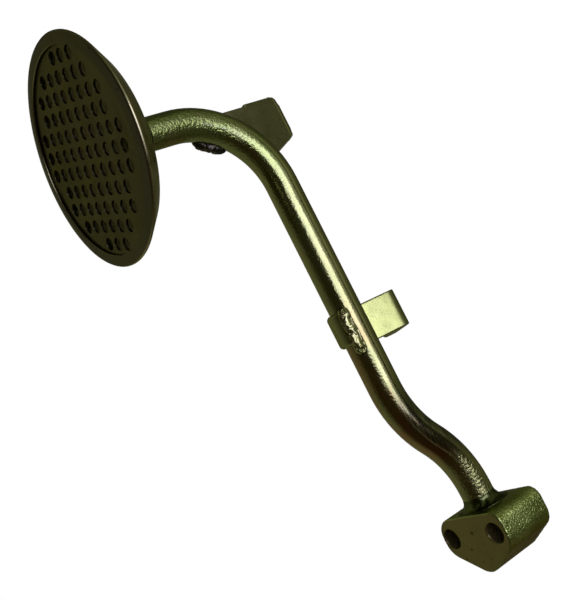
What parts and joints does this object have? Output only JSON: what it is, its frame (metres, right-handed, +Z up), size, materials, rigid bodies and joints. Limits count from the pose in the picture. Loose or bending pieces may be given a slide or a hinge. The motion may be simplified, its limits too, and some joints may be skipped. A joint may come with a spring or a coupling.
{
  "type": "oil pickup tube",
  "caption": "Bent steel suction tube with a perforated bell strainer at its foot, a bolted flange block at its outlet and welded stays that brace it inside an oil sump.",
  "frame": {"origin": "midway between the two bolt holes, on the flange block's mating face", "axes": "+Z up and out of the mating face, -X along the tube from the block towards the strainer, +Y towards the side that the stays' legs point to; the strainer faces down, as installed"},
  "size_m": [0.2655, 0.0924, 0.1129],
  "materials": {
    "plated_tube": "yellow chromate over zinc, satin",
    "plated_sheet": "yellow chromate over zinc, satin, darker",
    "plated_block": "yellow chromate over zinc, rough",
    "plated_strip": "yellow chromate over zinc, satin",
    "plated_weld": "yellow chromate over zinc, rough weld metal"
  },
  "bodies": {
    "root": {"pickup_tube": "plated_tube", "strainer_bell": "plated_sheet", "strainer_screen": "plated_sheet", "flange_block": "plated_block", "run_stay": "plated_strip", "bend_stay": "plated_strip", "flange_braze": "plated_weld", "collar_braze": "plated_weld", "run_stay_weld": "plated_weld", "bend_stay_weld": "plated_weld"}
  },
  "joints": []
}
